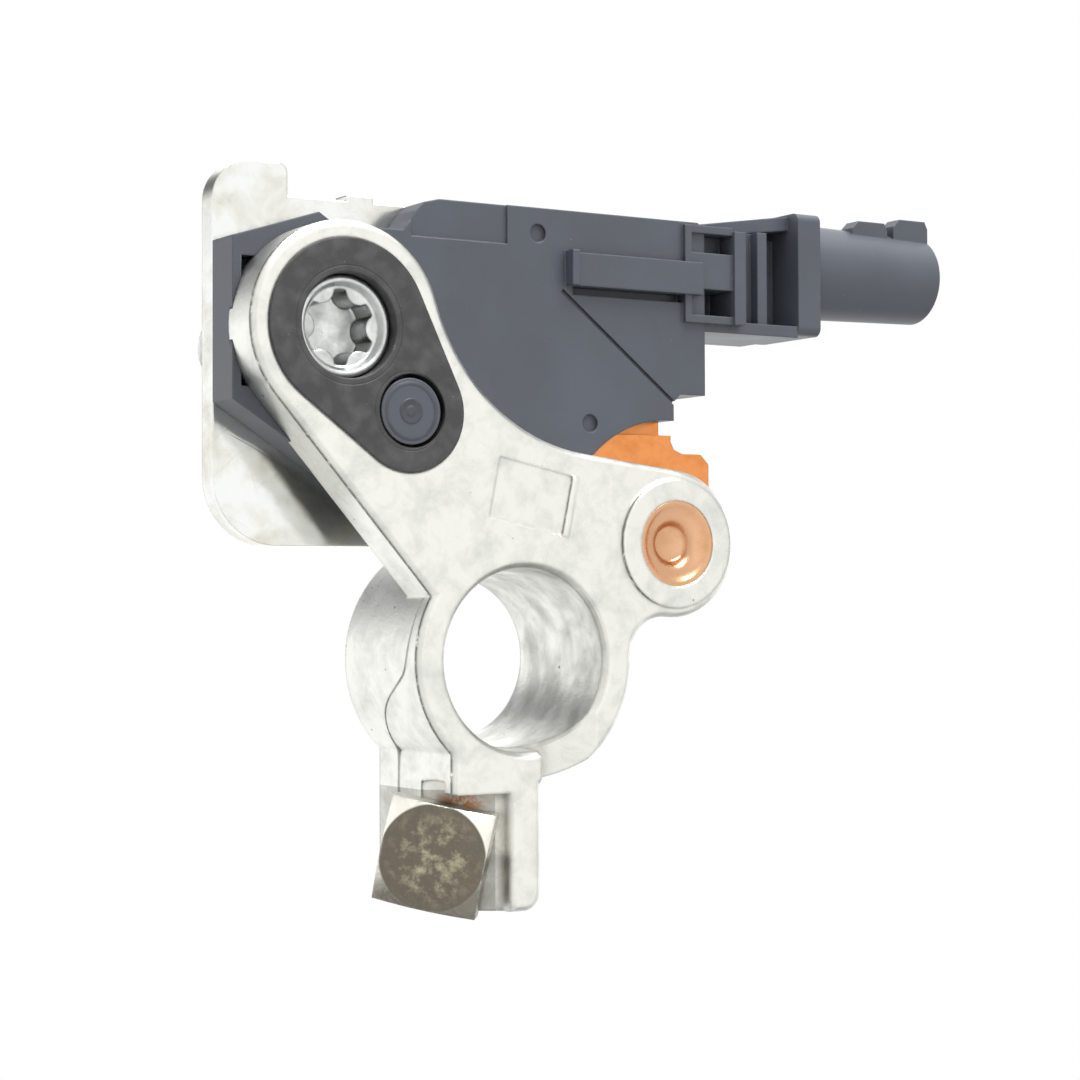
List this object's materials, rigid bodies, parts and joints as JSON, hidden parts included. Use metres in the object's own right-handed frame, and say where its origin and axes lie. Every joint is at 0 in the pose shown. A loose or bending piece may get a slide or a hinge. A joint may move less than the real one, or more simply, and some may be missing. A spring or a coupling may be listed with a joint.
{
  "type": "battery cable clamp",
  "caption": "Cast post clamp with a slanted square-headed bolt, riveted to a current sensor housing with a round connector shroud and an insulated ground stud.",
  "frame": {"origin": "centre of the post bore on the clamp's battery-side face", "axes": "+Z along the post, from the battery to the open top; +Y from the clamping leg towards the sensor; +X towards the ground stud"},
  "size_m": [0.0851, 0.0717, 0.0276],
  "materials": {
    "tinned_cast": "satin",
    "bolt_steel": "satin",
    "zinc": "satin",
    "insert_black": "matte",
    "stud_steel": "satin",
    "tinned_sheet": "gloss",
    "copper": "satin",
    "resistance_alloy": "satin",
    "housing_black": "matte",
    "board_green": "satin",
    "chip_black": "matte",
    "ceramic": "satin",
    "tinned_pin": "gloss"
  },
  "bodies": {
    "clamp": {"clamp_body": "tinned_cast", "insulating_insert": "insert_black", "ground_stud": "stud_steel", "ground_plate": "tinned_sheet", "shunt_battery_end": "copper", "shunt_resistance_strip": "resistance_alloy", "shunt_ground_end": "copper", "lug_rivet": "copper", "housing_base": "housing_black", "housing_cover": "housing_black", "circuit_board": "board_green", "sensor_chip": "chip_black", "supply_capacitor": "ceramic", "filter_capacitor": "ceramic", "line_filter": "chip_black", "sense_post_1": "tinned_pin", "sense_post_2": "tinned_pin", "connector_pin_1": "tinned_pin", "connector_pin_2": "tinned_pin"},
    "bolt": {"clamp_bolt": "bolt_steel"},
    "washer": {"clamp_washer": "zinc"},
    "nut": {"clamp_nut": "zinc"}
  },
  "joints": [
    {"name": "bolt_rattle", "type": "hinge", "parent": "clamp", "child": "bolt", "pos_m": [0.007, -0.0185, 0.0053], "axis": [-0.5878, 0, 0.809], "range_deg": [-22, 4]},
    {"name": "washer_travel", "type": "slide", "parent": "bolt", "child": "washer", "axis": [0.5878, 0, -0.809], "range_m": [0, 0.0019]},
    {"name": "nut_spin", "type": "hinge", "parent": "washer", "child": "nut", "pos_m": [0.00018, -0.0185, 0.01469], "axis": [0.5878, 0, -0.809], "range_deg": [0, 684.1]}
  ],
  "couplings": [
    {"joint": "nut_spin", "follows": "washer_travel", "rad_per_m": 6283.2}
  ]
}
